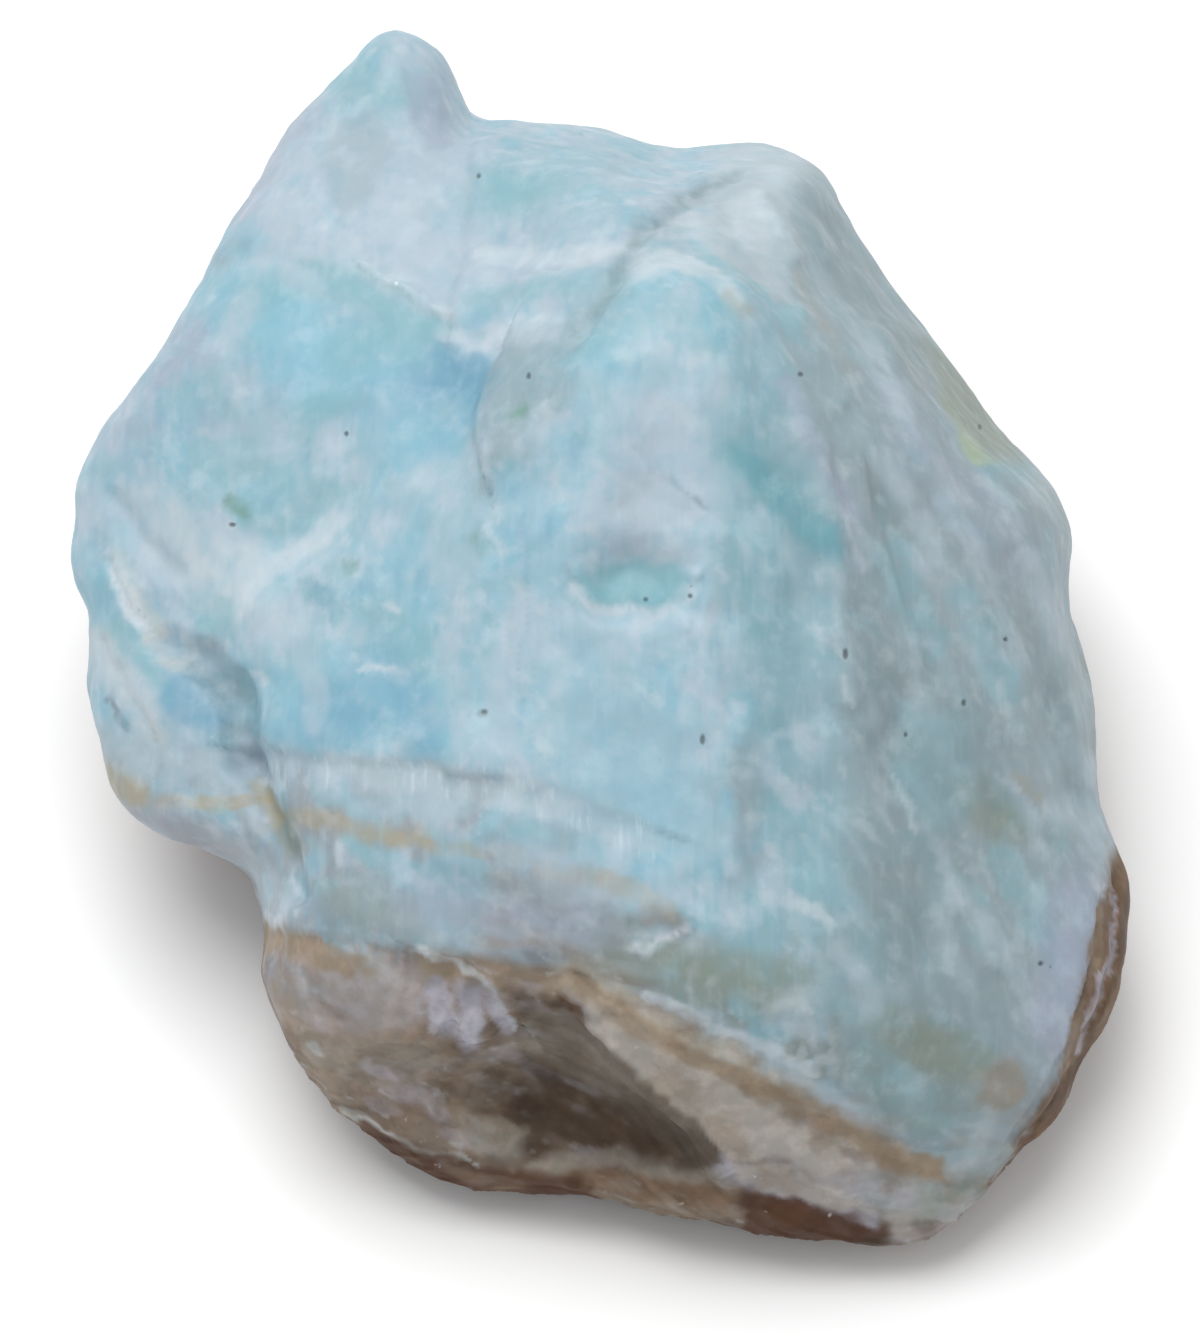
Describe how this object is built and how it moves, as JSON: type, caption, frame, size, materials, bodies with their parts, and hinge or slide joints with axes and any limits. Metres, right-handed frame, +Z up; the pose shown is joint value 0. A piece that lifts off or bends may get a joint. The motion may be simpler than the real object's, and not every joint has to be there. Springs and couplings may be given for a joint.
{
  "type": "rough blue calcite stone",
  "caption": "Rough lump of banded blue and white calcite with a brown layered foot, one natural stone that rests on a flat spot of its underside.",
  "frame": {"origin": "middle of the footprint box, on the surface that the stone rests on", "axes": "+Z up; the broad blue side faces -Y and up; +X to the right of someone who looks at that side"},
  "size_m": [0.0714, 0.08, 0.0464],
  "materials": {
    "calcite": "satin"
  },
  "bodies": {
    "root": {"calcite_stone": "calcite"}
  },
  "joints": []
}
